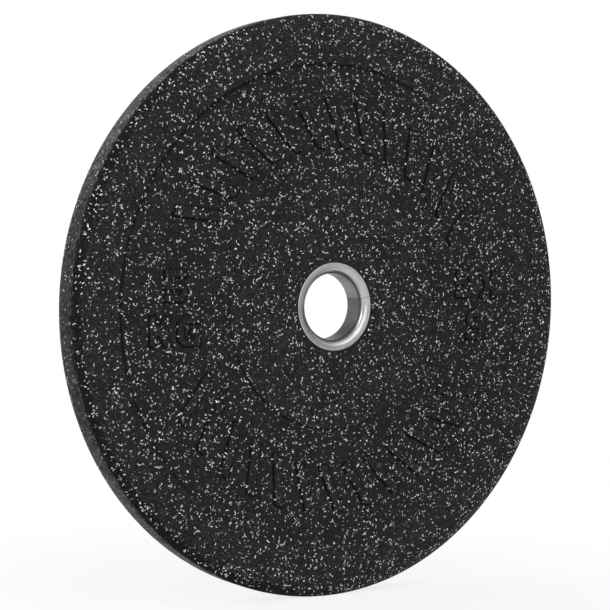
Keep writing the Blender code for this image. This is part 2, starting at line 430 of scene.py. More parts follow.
def face_rings():
    """The closed lines that the face's triangles keep: edges, walls, bevel and raised forms."""
    rings = [circle(SEAT_RADIUS, SEAT_STEPS), circle(FACE_EDGE_RADIUS, EDGE_STEPS)]
    for share in (0.0, 0.5, 1.0):
        rings.append(circle(BOSS_RADIUS + share * RING_WALL_RUN, BOSS_STEPS))
        rings.append(circle(LAND_RADIUS - share * RING_WALL_RUN, LAND_STEPS))
    for side in (-BEVEL_START_ROUND, BEVEL_START_ROUND):
        rings.append(circle(RIM_RADIUS - BEVEL_RUN + side, EDGE_STEPS))
    for corners, radius in FORMS:
        for share in (-0.5, 0.0, 0.5):
            rings.append(filleted(corners, radius, share * FORM_WALL_RUN))
    return rings


def face_sheet(rng):
    """The front face in its plane: points, triangles and tones."""
    inner = SEAT_RADIUS + HUB_MARGIN
    outer = FACE_EDGE_RADIUS - RIM_MARGIN

    def draw(rng):
        """A place on the face, now and then on the bevel alone."""
        start = RIM_RADIUS - BEVEL_RUN if rng.random() < BEVEL_EXTRA else inner + HUB_DRAW_MARGIN
        radius = math.sqrt(rng.uniform(start ** 2, (outer - RIM_DRAW_MARGIN) ** 2))
        angle = rng.uniform(0, math.tau)
        return radius * math.cos(angle), radius * math.sin(angle)

    def hold(x, y):
        radius = math.hypot(x, y)
        share = min(max(radius, inner), outer) / radius
        return x * share, y * share

    count = math.pi * (outer ** 2 - inner ** 2) * FACE_GRANULES_PER_MM2
    outlines, tones = scatter(rng, count, FACE_SHARES, draw, hold)
    places, triangles, tone = triangulate(face_rings(), [], outlines, tones)
    middle = places[triangles].mean(1)
    outside_seat = np.hypot(middle[:, 0], middle[:, 1]) >= SEAT_RADIUS
    return places, triangles[outside_seat], tone[outside_seat]


def tread_sheet(rng):
    """The tread unrolled: distance round the rim, and height along the axis."""
    length = math.tau * RIM_RADIUS
    half = FACE - BEVEL_DROP
    low, high = TREAD_MARGIN - half, half - TREAD_MARGIN

    def draw(rng):
        return rng.uniform(JOIN_DRAW_MARGIN, length - JOIN_DRAW_MARGIN), rng.uniform(low, high)

    def hold(x, y):
        return min(max(x, TREAD_MARGIN), length - TREAD_MARGIN), min(max(y, low), high)

    outlines, tones = scatter(rng, length * 2 * half * TREAD_GRANULES_PER_MM2, TREAD_SHARES, draw, hold)
    around = [length * i / EDGE_STEPS for i in range(EDGE_STEPS + 1)]
    edge = [(s, -half) for s in around] + [(s, half) for s in reversed(around)]
    lines = [[(0.0, y), (length, y)] for y in (-HALF_TREAD, HALF_TREAD)]
    across = around[TREAD_LINE_STEPS:-TREAD_LINE_STEPS:TREAD_LINE_STEPS]
    lines += [[(s, -HALF_TREAD), (s, HALF_TREAD)] for s in across]
    return triangulate([edge], lines, outlines, tones)


def tread_places(sheet):
    """The unrolled tread's points rolled round the rim."""
    angle = sheet[:, 0] / RIM_RADIUS
    beyond = np.clip((np.abs(sheet[:, 1]) - HALF_TREAD) / CORNER_DROP, 0.0, 1.0)
    radius = RIM_RADIUS - CORNER_RUN * beyond
    return np.stack([radius * np.cos(angle), sheet[:, 1], radius * np.sin(angle)], axis=1)


def rubber_inside():
    """Profile of the rubber behind the hub, as (radius, height), from front seat to back seat."""
    underside = LIP_TOP - LIP_THICKNESS - GAP
    foot_radius = LIP_FOOT_RADIUS + GAP
    anchor_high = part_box("anchor_plate")[1]
    anchor_radius = anchor_high.x / MM + GAP
    anchor_half = anchor_high.y / MM + GAP
    front = [
        (SEAT_RADIUS, FACE),
        (SEAT_RADIUS, underside),
        (foot_radius + LIP_FOOT_CHAMFER, underside),
        (foot_radius, LIP_FOOT - GAP),
        (SLEEVE_RADIUS + GAP, LIP_FOOT - GAP),
        (SLEEVE_RADIUS + GAP, anchor_half),
        (anchor_radius, anchor_half),
    ]
    return front + [(r, -h) for r, h in reversed(front)]


def seat_surface():
    """Points and faces of the rubber behind the hub."""
    profile = rubber_inside()
    points = []
    for radius, height in profile:
        for i in range(SEAT_STEPS):
            angle = math.tau * i / SEAT_STEPS
            points.append((radius * math.cos(angle), -height, radius * math.sin(angle)))
    faces = []
    for row in range(len(profile) - 1):
        a, b = row * SEAT_STEPS, (row + 1) * SEAT_STEPS
        for i in range(SEAT_STEPS):
            j = (i + 1) % SEAT_STEPS
            faces.append((a + i, b + i, b + j, a + j))
    return np.array(points), faces


def rubber_body(rubber, tones):
    """The whole disc as one closed mesh, its granules as faces with their own materials."""
    rng = random.Random(SEED)
    sheet, triangles, tone = face_sheet(rng)
    front = np.stack([sheet[:, 0], -face_height(sheet), sheet[:, 1]], axis=1)
    back = front * (-1.0, -1.0, 1.0)
    unrolled, tread_triangles, tread_tone = tread_sheet(rng)
    tread = tread_places(unrolled)
    seat, seat_faces = seat_surface()

    places = np.concatenate([front, back, tread, seat]) * MM
    tread_first = len(front) + len(back)
    seat_first = tread_first + len(tread)
    faces = [tuple(t) for t in triangles]
    faces += [tuple(t + len(front)) for t in triangles]
    faces += [tuple(t[::-1] + tread_first) for t in tread_triangles]
    faces += [tuple(seat_first + i for i in f) for f in seat_faces]
    slots = np.concatenate([tone, tone, tread_tone, np.full(len(seat_faces), -1)]) + 1

    mesh = bpy.data.meshes.new("moulded_rubber_disc")
    mesh.from_pydata(places.tolist(), [], [[int(i) for i in f] for f in faces])
    mesh.materials.append(rubber)
    for shade in tones:
        mesh.materials.append(shade)
    mesh.polygons.foreach_set("material_index", slots.astype(np.int32))
    shape = bmesh.new()
    shape.from_mesh(mesh)
    bmesh.ops.remove_doubles(shape, verts=shape.verts, dist=WELD_DISTANCE)
    open_edges = sum(1 for edge in shape.edges if not edge.is_manifold)
    print("rubber mesh:", len(shape.faces), "faces,", open_edges, "open edges")
    shape.to_mesh(mesh)
    shape.free()
    mesh.shade_smooth()
    set_normals(mesh)
    return link("moulded_rubber_disc", mesh)


def set_normals(mesh):
    """Exact normals on the faces and the tread, so that long triangles don't show."""
    count = len(mesh.vertices)
    places = np.zeros(count * 3)
    mesh.vertices.foreach_get("co", places)
    places = places.reshape(-1, 3) / MM
    radius = np.hypot(places[:, 0], places[:, 2])
    height = np.abs(places[:, 1])
    side = np.where(places[:, 1] < 0, 1.0, -1.0)
    normals = np.zeros((count, 3))

    on_face = (radius > SEAT_RADIUS - NEAR) & (radius < FACE_EDGE_RADIUS + NEAR) & (height > HALF_TREAD)
    found = np.nonzero(on_face)[0]
    seen_from_front = np.stack([places[found, 0] * side[found], places[found, 2]], axis=1)
    flat = face_normals(seen_from_front)
    flat[:, 0] *= side[found]
    flat[:, 1] *= side[found]
    normals[found] = flat

    outward = np.stack([places[:, 0], np.zeros(count), places[:, 2]], axis=1)
    outward /= np.maximum(radius, 1e-6)[:, None]
    on_tread = radius > FACE_EDGE_RADIUS + NEAR
    normals[on_tread] = outward[on_tread]
    corner = (np.abs(radius - FACE_EDGE_RADIUS) < NEAR) & (height > HALF_TREAD)
    normals[corner] += CORNER_LEAN * outward[corner]
    brim = on_tread & (np.abs(height - HALF_TREAD) < NEAR)
    normals[brim, 1] -= BRIM_LEAN * side[brim]

    length = np.linalg.norm(normals, axis=1)
    known = length > 0.5
    normals[known] /= length[known][:, None]
    mesh.normals_split_custom_set_from_vertices(normals.tolist())


# Hub

SLEEVE_WALL = 2.0
BORE_RADIUS = SLEEVE_RADIUS - SLEEVE_WALL
SLEEVE_ROUND = 1.5
SLEEVE_SETBACK = 0.15
SLEEVE_VISIBLE_END = SLEEVE_END - SLEEVE_SETBACK
SEAM_ANGLE = math.radians(13.5)
SEAM_GAP = 0.22
HUB_STEPS = 240
SHARP_ANGLE = math.radians(40)

# A lip ring's section: a short straight tip, a tight throat, a wide flare, a nearly flat band and a
# rounded outer edge. Angles are of the section's normals, in degrees from straight outwards.
THROAT_DEPTH = 0.4
THROAT_ROUND = 1.5
THROAT_ANGLES = (170, 152)
FLARE_ROUND = 4.5
FLARE_CENTRE = BORE_RADIUS + 5.57
FLARE_ANGLES = (152, 92.5)
BAND_DISH = 0.11
BAND_END_SHARE = 0.1
LIP_EDGE_ROUND = 0.4


def arc(centre_radius, centre_height, radius, start, end, steps):
    """Points of an arc in a section, (radius, height), between two angles in degrees."""
    points = []
    for i in range(steps + 1):
        angle = math.radians(start + (end - start) * i / steps)
        points.append((centre_radius + radius * math.cos(angle),
                       centre_height + radius * math.sin(angle)))
    return points


def lip_outline():
    """Half section of a lip ring, (radius, height), flared like a trumpet from its inner edge."""
    tip_angle, join_angle = THROAT_ANGLES
    band_angle = FLARE_ANGLES[1]
    flare = arc(FLARE_CENTRE, LIP_TOP - BAND_DISH - FLARE_ROUND, FLARE_ROUND, *FLARE_ANGLES, 14)
    join_radius, join_height = flare[0]
    throat = arc(join_radius - THROAT_ROUND * math.cos(math.radians(join_angle)),
                 join_height - THROAT_ROUND * math.sin(math.radians(join_angle)),
                 THROAT_ROUND, tip_angle, join_angle, 5)
    tip = (throat[0][0] - THROAT_DEPTH * math.sin(math.radians(tip_angle)),
           throat[0][1] + THROAT_DEPTH * math.cos(math.radians(tip_angle)))
    edge = arc(LIP_RADIUS - LIP_EDGE_ROUND, LIP_TOP - LIP_EDGE_ROUND, LIP_EDGE_ROUND, band_angle, 0, 6)
    (r0, h0), (r1, h1) = flare[-1], edge[0]
    band_end = (r1 + (r0 - r1) * BAND_END_SHARE, h1 + (h0 - h1) * BAND_END_SHARE)
    underside = LIP_TOP - LIP_THICKNESS
    behind = [(LIP_RADIUS, underside), (LIP_FOOT_RADIUS + LIP_FOOT_CHAMFER, underside),
              (LIP_FOOT_RADIUS, LIP_FOOT)]
    return [tip] + throat[:-1] + flare + [band_end] + edge + behind


def sleeve_outline():
    """Section of the sleeve, its ends rounded inside and set back from the flared rings."""
    r = SLEEVE_ROUND
    front = arc(BORE_RADIUS + r, SLEEVE_VISIBLE_END - r, r, 180, 90, 8)
    front.append((SLEEVE_RADIUS, SLEEVE_VISIBLE_END))
    return front + [(radius, -height) for radius, height in reversed(front)]


def rolled(name, outline, side):
    """A ring rolled from strip: the section swept round the axis from seam to seam, ends closed."""
    half_gap = SEAM_GAP / BORE_RADIUS / 2
    count = len(outline)
    shape = bmesh.new()
    rows = []
    for i in range(HUB_STEPS + 1):
        angle = SEAM_ANGLE + half_gap + (math.tau - 2 * half_gap) * (i / HUB_STEPS)
        c, s = math.cos(angle), math.sin(angle)
        rows.append([shape.verts.new((r * c * MM, -side * h * MM, r * s * MM)) for r, h in outline])
    for a, b in zip(rows, rows[1:]):
        for i in range(count):
            j = (i + 1) % count
            shape.faces.new((a[i], a[j], b[j], b[i]))
    shape.faces.new(rows[0])
    shape.faces.new(rows[-1])
    bmesh.ops.recalc_face_normals(shape, faces=shape.faces)
    mesh = bpy.data.meshes.new(name)
    shape.to_mesh(mesh)
    shape.free()
    mesh.shade_smooth()
    mesh.set_sharp_from_angle(angle=SHARP_ANGLE)
    return link(name, mesh)


# Materials

# Scales of the patterns, in cells or waves per metre
FINE_CRUMBS = 820.0
COARSE_CRUMBS = 380.0
CLOUDS = 55.0
DUST_SPECKS = 620.0
CHIPS = 480.0
FIBRES = 760.0
# Scales of the noise that breaks up the painted shade on the walls, and of the patches of painted shadow
# at the land's foot
WALL_SHADE_BREAKS = 420.0
FOOT_SHADOW_PATCHES = 150.0
LUMPS = 900.0
CRUMB_SEAMS = 420.0
GRANULE_PITS = 1500.0
STEEL_LINES = 5200.0
STEEL_PATCHES = 190.0

# Greys of the rubber
RUBBER_GREY = 0.0128
# Grey of the painted shade on the walls, at the land's foot and on the bevel
WALL_SHADE_GREY = 0.0015
DUST_GREY = 0.09
DUST_SHARE = 0.7
TREAD_GREY = 0.003
SCUFF_GREY = 0.09

# Angles in the plate's plane, from +X towards +Z, that the painted shadow at the land's foot and the
# painted shade on the bevel and on the tread's left are centred on
LAND_SHADOW_ANGLE = 150
BEVEL_SHADE_ANGLE = 195
TREAD_SHADE_ANGLE = 182
FIBRE_LEANS = (35, -50)
FIBRE_STRETCH = 0.3

# Painted shade on the sleeve's rounded ends, and painted reflections and shade round the bore by
# share of a turn from the seam
END_SHADE_STEEL = 0.08
END_SHADE_ROUGHNESS = 0.55
END_SHADE_START = SLEEVE_VISIBLE_END - 0.8
END_SHADE_FULL = SLEEVE_VISIBLE_END - 0.4
LINE_WANDER = 0.0004
SLEEVE_REFLECTION_TONE = [(0.0, 0.29), (0.045, 0.41), (0.09, 0.34), (0.13, 0.13), (0.27, 0.14), (0.33, 0.7),
               (0.45, 0.8), (0.70, 0.8), (0.745, 0.12), (0.79, 0.05), (0.84, 0.09), (0.88, 0.16),
               (1.0, 0.20)]


def new_material(name):
    made = bpy.data.materials.new(name)
    made.use_nodes = True
    return made, made.node_tree.nodes["Principled BSDF"]


def node(tree, kind, **settings):
    made = tree.nodes.new(kind)
    for key, value in settings.items():
        setattr(made, key, value)
    return made


def math_node(tree, operation, first, second):
    made = node(tree, "ShaderNodeMath", operation=operation)
    for socket, value in zip(made.inputs, (first, second)):
        if isinstance(value, (int, float)):
            socket.default_value = value
        else:
            tree.links.new(value, socket)
    return made.outputs[0]


def ramp(tree, value, stops):
    """A colour ramp of greys: stops are (position, grey)."""
    made = node(tree, "ShaderNodeValToRGB")
    tree.links.new(value, made.inputs["Fac"])
    elements = made.color_ramp.elements
    elements[0].position, elements[1].position = stops[0][0], stops[-1][0]
    for position, _ in stops[1:-1]:
        elements.new(position)
    for element, (_, grey) in zip(elements, stops):
        element.color = (grey, grey, grey, 1.0)
    return made.outputs["Color"]


def object_place(tree):
    return node(tree, "ShaderNodeTexCoord").outputs["Object"]


def split_vector(tree, vector):
    """A vector's parts, as the outputs X, Y and Z of a node."""
    made = node(tree, "ShaderNodeSeparateXYZ")
    tree.links.new(vector, made.inputs["Vector"])
    return made


def split_colour(tree, colour):
    """A colour's parts, as the outputs Red, Green and Blue of a node."""
    made = node(tree, "ShaderNodeSeparateColor")
    tree.links.new(colour, made.inputs["Color"])
    return made


def vector_length(tree, vector):
    made = node(tree, "ShaderNodeVectorMath", operation="LENGTH")
    tree.links.new(vector, made.inputs[0])
    return made.outputs["Value"]


def noise(tree, place, scale, detail, roughness=0.5, distortion=0.0):
    made = node(tree, "ShaderNodeTexNoise")
    made.inputs["Distortion"].default_value = distortion
    made.inputs["Scale"].default_value = scale
    made.inputs["Detail"].default_value = detail
    made.inputs["Roughness"].default_value = roughness
    tree.links.new(place, made.inputs["Vector"])
    return made.outputs["Fac"]


def voronoi(tree, place, scale, feature="F1", distance="EUCLIDEAN"):
    made = node(tree, "ShaderNodeTexVoronoi", feature=feature, distance=distance)
    made.inputs["Scale"].default_value = scale
    tree.links.new(place, made.inputs["Vector"])
    return made


def mix(tree, kind, share, first, second):
    """Mixes two colours. Each of share, first and second is a socket or a value."""
    made = node(tree, "ShaderNodeMix", data_type="RGBA", blend_type=kind)
    factor, colour_a, colour_b = made.inputs[0], made.inputs[6], made.inputs[7]
    for socket, value in ((factor, share), (colour_a, first), (colour_b, second)):
        if isinstance(value, bpy.types.NodeSocket):
            tree.links.new(value, socket)
        else:
            socket.default_value = value
    return made.outputs[2]


def bump(tree, height, strength, distance, before=None):
    made = node(tree, "ShaderNodeBump")
    made.inputs["Strength"].default_value = strength
    made.inputs["Distance"].default_value = distance
    tree.links.new(height, made.inputs["Height"])
    if before is not None:
        tree.links.new(before, made.inputs["Normal"])
    return made.outputs["Normal"]


def grey(value):
    return (value, value, value, 1.0)


def smooth_range(tree, value, low, high, start=0.0, end=1.0):
    """A smooth step of value between low and high, from start to end."""
    made = node(tree, "ShaderNodeMapRange", interpolation_type="SMOOTHSTEP")
    for name, number in (("From Min", low), ("From Max", high), ("To Min", start), ("To Max", end)):
        made.inputs[name].default_value = number
    tree.links.new(value, made.inputs["Value"])
    return made.outputs["Result"]


def plate_place(tree, place):
    """Distance from the bore's axis and from the plate's middle plane."""
    split = split_vector(tree, place)
    flat = node(tree, "ShaderNodeCombineXYZ")
    tree.links.new(split.outputs["X"], flat.inputs["X"])
    tree.links.new(split.outputs["Z"], flat.inputs["Z"])
    height = math_node(tree, "ABSOLUTE", split.outputs["Y"], 0.0)
    return vector_length(tree, flat.outputs["Vector"]), height


def crumb_shades(tree, place, scale, darkest, lightest):
    """A shade for each crumb of the rubber."""
    shade = split_colour(tree, voronoi(tree, place, scale).outputs["Color"])
    return smooth_range(tree, shade.outputs["Red"], 0.0, 1.0, darkest, lightest)


def times(tree, *factors):
    """The product of several sockets."""
    product = factors[0]
    for factor in factors[1:]:
        product = math_node(tree, "MULTIPLY", product, factor)
    return product


def towards(tree, split, angle):
    """How far a split vector points towards an angle in the plate's plane, from +X towards +Z."""
    across = math_node(tree, "MULTIPLY", split.outputs["X"], math.cos(math.radians(angle)))
    upward = math_node(tree, "MULTIPLY", split.outputs["Z"], math.sin(math.radians(angle)))
    return math_node(tree, "ADD", across, upward)


def between(tree, value, low, high):
    """A smooth step from 0 to 1 between two lengths in millimetres."""
    return smooth_range(tree, value, low * MM, high * MM)


def below(tree, value, low, high):
    """A smooth step from 1 to 0 between two lengths in millimetres."""
    return smooth_range(tree, value, low * MM, high * MM, 1.0, 0.0)


def wall_shade_mask(tree, place, radius, height, facing):
    """Painted shade: 1 on the walls of the raised forms and of the boss, less on those that face up."""
    foot = between(tree, height, FLOOR + 0.005, FLOOR + 0.08)
    brow = below(tree, height, FACE - 0.12, FACE - 0.01)
    from_boss = between(tree, radius, BOSS_RADIUS + 1.5, BOSS_RADIUS + 2.5)
    from_land = below(tree, radius, LAND_RADIUS - 2.5, LAND_RADIUS - 1.5)
    boss_lee = smooth_range(tree, facing.outputs["Z"], -0.5, 0.4, 0.9, 0.2)
    form_lee = smooth_range(tree, facing.outputs["Z"], 0.1, 0.8, 1.0, 0.4)
    lee = mix(tree, "MIX", from_boss, boss_lee, form_lee)
    # Noise breaks the painted shade into patches
    shade_breaks = ramp(tree, noise(tree, place, WALL_SHADE_BREAKS, 3.0, 0.6), [(0.36, 0.5), (0.46, 1.0)])
    return times(tree, foot, brow, from_land, lee, shade_breaks)


def land_foot_shadow_mask(tree, place, radius):
    """Painted shadow in broken patches along the foot of the wall inside the land, on its upper left."""
    outward = towards(tree, split_vector(tree, place), LAND_SHADOW_ANGLE)
    side = smooth_range(tree, math_node(tree, "DIVIDE", outward, radius), -0.4, 0.7, 0.0, 0.85)
    inner = between(tree, radius, LAND_RADIUS - 3.3, LAND_RADIUS - 1.7)
    outer = below(tree, radius, LAND_RADIUS - 0.3, LAND_RADIUS + 1.1)
    patches = ramp(tree, noise(tree, place, FOOT_SHADOW_PATCHES, 3.0), [(0.36, 0.35), (0.55, 1.0)])
    return times(tree, side, inner, outer, patches)


def bevel_shade_mask(tree, radius, height, facing):
    """Painted shade on the left part of the bevels, at up to 0.6."""
    start = RIM_RADIUS - BEVEL_RUN
    on_bevel = between(tree, radius, start - 0.5, start + 0.8)
    off_tread = between(tree, height, HALF_TREAD, HALF_TREAD + 0.5)
    side = smooth_range(tree, towards(tree, facing, BEVEL_SHADE_ANGLE), -0.02, 0.20, 0.0, 0.6)
    return times(tree, on_bevel, off_tread, side)


def streaks(tree, place, lean):
    """Short pale streaks, drawn out along a line that leans from the upright."""
    turned = node(tree, "ShaderNodeMapping")
    turned.inputs["Rotation"].default_value = (math.radians(lean), 0.0, 0.0)
    turned.inputs["Scale"].default_value = (1.0, 1.0, FIBRE_STRETCH)
    tree.links.new(place, turned.inputs["Vector"])
    fibres = noise(tree, turned.outputs["Vector"], FIBRES, 2.0, 0.5, 0.6)
    return ramp(tree, fibres, [(0.52, 0.0), (0.62, 1.0)])


def crumb_tint(tree, place):
    """Dark rubber with a shade for each crumb, fine and coarse, and slow clouds over them."""
    fine = crumb_shades(tree, place, FINE_CRUMBS, 0.55, 1.5)
    coarse = crumb_shades(tree, place, COARSE_CRUMBS, 0.8, 1.2)
    cloud = ramp(tree, noise(tree, place, CLOUDS, 3.0), [(0.35, 0.85), (0.65, 1.15)])
    tint = grey(RUBBER_GREY)
    for shade in (fine, coarse, cloud):
        tint = mix(tree, "MULTIPLY", 1.0, tint, shade)
    return tint


def dusted(tree, place, tint):
    """A tint with faint specks of dust."""
    dust = voronoi(tree, place, DUST_SPECKS)
    near = ramp(tree, dust.outputs["Distance"], [(0.25, 1.0), (0.42, 0.0)])
    chosen = ramp(tree, dust.outputs["Color"], [(0.55, 0.0), (0.80, 1.0)])
    speck = mix(tree, "MULTIPLY", 1.0, near, chosen)
    return mix(tree, "MIX", math_node(tree, "MULTIPLY", speck, DUST_SHARE), tint, grey(DUST_GREY))


def fine_chips(tree, place, on_tread):
    """Chips finer than the granules, weaker on the tread, as a mask and their shades."""
    chips = voronoi(tree, place, CHIPS, distance="MANHATTAN")
    near = ramp(tree, chips.outputs["Distance"], [(0.20, 1.0), (0.26, 0.0)])
    look = split_colour(tree, chips.outputs["Color"])
    chosen = ramp(tree, look.outputs["Red"], [(0.66, 0.0), (0.67, 1.0)])
    strength = smooth_range(tree, on_tread, 0.0, 1.0, 1.0, 0.6)
    shades = ramp(tree, look.outputs["Green"], [(0.0, 0.15), (1.0, 0.85)])
    return times(tree, near, chosen, strength), shades


def scuffed_skin(tree, place, facing):
    """The tread's fibrous skin, with painted shade where it faces left and lightened elsewhere."""
    scuffs = math_node(tree, "MAXIMUM", *[streaks(tree, place, lean) for lean in FIBRE_LEANS])
    skin = mix(tree, "MIX", scuffs, grey(TREAD_GREY), grey(SCUFF_GREY))
    # Painted shade darkens the skin where the tread faces left; elsewhere it is lightened
    left_shade = smooth_range(tree, towards(tree, facing, TREAD_SHADE_ANGLE), 0.80, 0.97, 1.25, 0.5)
    return mix(tree, "MULTIPLY", 1.0, skin, left_shade)


def crumb_relief(tree, place):
    """Small lumps, and fine grooves between the crumbs."""
    lumps = bump(tree, noise(tree, place, LUMPS, 3.0, 0.6), 0.40, 0.00012)
    cells = voronoi(tree, place, CRUMB_SEAMS, "DISTANCE_TO_EDGE")
    grooves = ramp(tree, cells.outputs["Distance"], [(0.0, 0.0), (0.12, 1.0)])
    return bump(tree, grooves, 0.25, 0.00005, lumps)


def rubber_material():
    """Dark crumb rubber: fine crumbs, faint dusty specks, painted shade on the walls round the raised
    forms, at the foot of the land's wall and on the bevel's left, and a tread with a scuffed, fibrous
    skin that has painted shade on its left."""
    made, shader = new_material("black_crumb_rubber")
    tree = made.node_tree
    place = object_place(tree)
    radius, height = plate_place(tree, place)
    facing = split_vector(tree, node(tree, "ShaderNodeTexCoord").outputs["Normal"])
    # dark holds the painted shade: on the walls, at the foot of the land's wall and on the bevel's left
    dark = wall_shade_mask(tree, place, radius, height, facing)
    for mask in (land_foot_shadow_mask(tree, place, radius), bevel_shade_mask(tree, radius, height, facing)):
        dark = math_node(tree, "MAXIMUM", dark, mask)
    on_tread = between(tree, radius, FACE_EDGE_RADIUS - 0.1, FACE_EDGE_RADIUS + 0.4)

    tint = dusted(tree, place, crumb_tint(tree, place))
    chip, chip_shade = fine_chips(tree, place, on_tread)
    tint = mix(tree, "MIX", chip, tint, chip_shade)
    # The painted shade goes into the tint
    tint = mix(tree, "MIX", dark, tint, grey(WALL_SHADE_GREY))
    skin_share = times(tree, on_tread, math_node(tree, "SUBTRACT", 1.0, chip))
    tint = mix(tree, "MIX", skin_share, tint, scuffed_skin(tree, place, facing))
    tree.links.new(tint, shader.inputs["Base Color"])
    rough = smooth_range(tree, dark, 0.0, 1.0, 0.45, 0.85)
    rough = math_node(tree, "ADD", rough, math_node(tree, "MULTIPLY", on_tread, 0.17))
    tree.links.new(rough, shader.inputs["Roughness"])
    shader.inputs["Specular IOR Level"].default_value = 0.117
    shader.inputs["Sheen Weight"].default_value = 0.07
    shader.inputs["Sheen Roughness"].default_value = 0.30
    tree.links.new(crumb_relief(tree, place), shader.inputs["Normal"])
    return made


def granule_material(index, shade):
    """Pale rubber granules of one tone, with a finely pitted skin."""
    made, shader = new_material("pale_granule_%d" % index)
    tree = made.node_tree
    shader.inputs["Base Color"].default_value = (shade, shade, shade * 0.985, 1.0)
    shader.inputs["Roughness"].default_value = 0.7
    shader.inputs["Specular IOR Level"].default_value = 0.3
    pits = noise(tree, object_place(tree), GRANULE_PITS, 3.0, 0.6)
    tree.links.new(bump(tree, pits, 0.4, 0.0001), shader.inputs["Normal"])
    return made


def turned_lines(tree, radius, height, angle):
    """Fine lines that run round the bore's axis and wander a little."""
    join = node(tree, "ShaderNodeCombineXYZ")
    tree.links.new(radius, join.inputs["X"])
    tree.links.new(height, join.inputs["Y"])
    tree.links.new(math_node(tree, "MULTIPLY", angle, LINE_WANDER), join.inputs["Z"])
    return noise(tree, join.outputs["Vector"], STEEL_LINES, 3.0, 0.6)


def steel_material(name, shade, roughness, line_depth, turn_reflection_tone=(), shaded_ends=False):
    """Satin steel with fine lines round the axis. The turn tone paints reflections and shade on it by
    share of a turn from the seam, and the ends flag paints shade on the sleeve's rounded ends, dark
    and rougher."""
    made, shader = new_material(name)
    tree = made.node_tree
    place = object_place(tree)
    radius, height = plate_place(tree, place)
    split = split_vector(tree, place)
    angle = math_node(tree, "ARCTAN2", split.outputs["Z"], split.outputs["X"])
    lines = turned_lines(tree, radius, height, angle)
    patches = noise(tree, place, STEEL_PATCHES, 3.0)
    colour = mix(tree, "MULTIPLY", 1.0, grey(shade), ramp(tree, lines, [(0.3, 0.9), (0.7, 1.08)]))
    colour = mix(tree, "MULTIPLY", 1.0, colour, ramp(tree, patches, [(0.3, 0.93), (0.7, 1.06)]))
    rough = ramp(tree, patches, [(0.3, roughness - 0.03), (0.7, roughness + 0.04)])
    # Painted reflections and shade round the bore, by share of a turn from the seam
    if turn_reflection_tone:
        from_seam = math_node(tree, "SUBTRACT", angle, SEAM_ANGLE)
        share = math_node(tree, "FLOORED_MODULO", math_node(tree, "DIVIDE", from_seam, math.tau), 1.0)
        colour = mix(tree, "MULTIPLY", 1.0, colour, ramp(tree, share, turn_reflection_tone))
    # Painted shade on the sleeve's rounded ends: dark, rougher steel
    if shaded_ends:
        end_shade = between(tree, height, END_SHADE_START, END_SHADE_FULL)
        colour = mix(tree, "MIX", end_shade, colour, grey(END_SHADE_STEEL))
        rough = mix(tree, "MIX", end_shade, rough, grey(END_SHADE_ROUGHNESS))
    tree.links.new(colour, shader.inputs["Base Color"])
    shader.inputs["Metallic"].default_value = 1.0
    tree.links.new(rough, shader.inputs["Roughness"])
    tree.links.new(bump(tree, lines, 0.12, line_depth), shader.inputs["Normal"])
    return made


# The plate

rubber = rubber_material()
granules = [granule_material(i, shade) for i, shade in enumerate(GRANULE_TONES)]
lip_steel = steel_material("turned_lip_steel", 0.50, 0.14, 0.000004)
sleeve_steel = steel_material("rolled_sleeve_steel", 0.60, 0.33, 0.00002, SLEEVE_REFLECTION_TONE, shaded_ends=True)
anchor_steel = steel_material("buried_plate_steel", 0.28, 0.5, 0.00004)

disc = rubber_body(rubber, granules)
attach(disc, "root")
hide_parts("rubber_disc")

for name, outline, side, steel, stands_for in (
        ("rolled_hub_sleeve", sleeve_outline(), 1, sleeve_steel, "hub_sleeve"),
        ("front_flared_ring", lip_outline(), 1, lip_steel, "front_lip_ring"),
        ("rear_flared_ring", lip_outline(), -1, lip_steel, "rear_lip_ring")):
    ring = rolled(name, outline, side)
    ring.data.materials.append(steel)
    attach(ring, "root")
    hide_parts(stands_for)

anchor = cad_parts["anchor_plate"]
anchor.data.materials.clear()
anchor.data.materials.append(anchor_steel)


# Floor, backdrop and light

WHITE = 1.0
NEAR_WHITE = 0.80
FLOOR_SHADE = 0.34
FLOOR_SHADE_SEEN = 0.80
FLOOR_LEVEL = -RIM_RADIUS * MM
FLOOR_RADIUS = 9.0
PAPER_FADE = (0.15, 0.45)

# In a reflection the floor is darker to the plate's right: shares of the way to +X, and metres
DIM_SIDE = (0.40, 0.80)
DIM_DISTANCE = (0.24, 0.50)
MOST_DIM = 0.95

# Brightness of the studio round the plate, near the level of the hub and higher up, by azimuth in
# degrees from -Y towards +X
LOW_LIGHT = [(-180, 1.1), (-145, 1.0), (-125, 1.6), (-104, 1.7), (-76, 1.7), (-62, 0.5), (-47, 0.45),
             (-34, 1.25), (-14, 1.95), (4, 1.8), (17, 1.4), (30, 0.83), (40, 0.42), (55, 0.18),
             (95, 0.12), (120, 0.12), (150, 0.6), (180, 1.1)]
HIGH_LIGHT = [(-180, 0.9), (-150, 1.0), (-125, 2.1), (-104, 3.3), (-75, 3.3), (-60, 0.85), (-45, 0.75),
              (-32, 1.3), (-14, 1.85), (4, 1.95), (22, 1.75), (38, 1.3), (48, 0.8), (85, 0.45),
              (110, 0.3), (150, 0.8), (180, 0.9)]
TOP_LIGHT = 0.9
BRIGHTEST = 3.5

# Elevations in degrees between which the low light passes into the high one, and that into the top
LOW_EDGE = (7, 25)
TOP_EDGE = (40, 62)


def seen_directly(tree, mirrored):
    """1 for rays from the camera and refracted ones, mirrored for reflected ones, else 0."""
    path = node(tree, "ShaderNodeLightPath").outputs
    either = math_node(tree, "MAXIMUM", path["Is Camera Ray"], path["Is Transmission Ray"])
    glossy = math_node(tree, "MULTIPLY", path["Is Glossy Ray"], mirrored)
    return math_node(tree, "MAXIMUM", either, glossy)


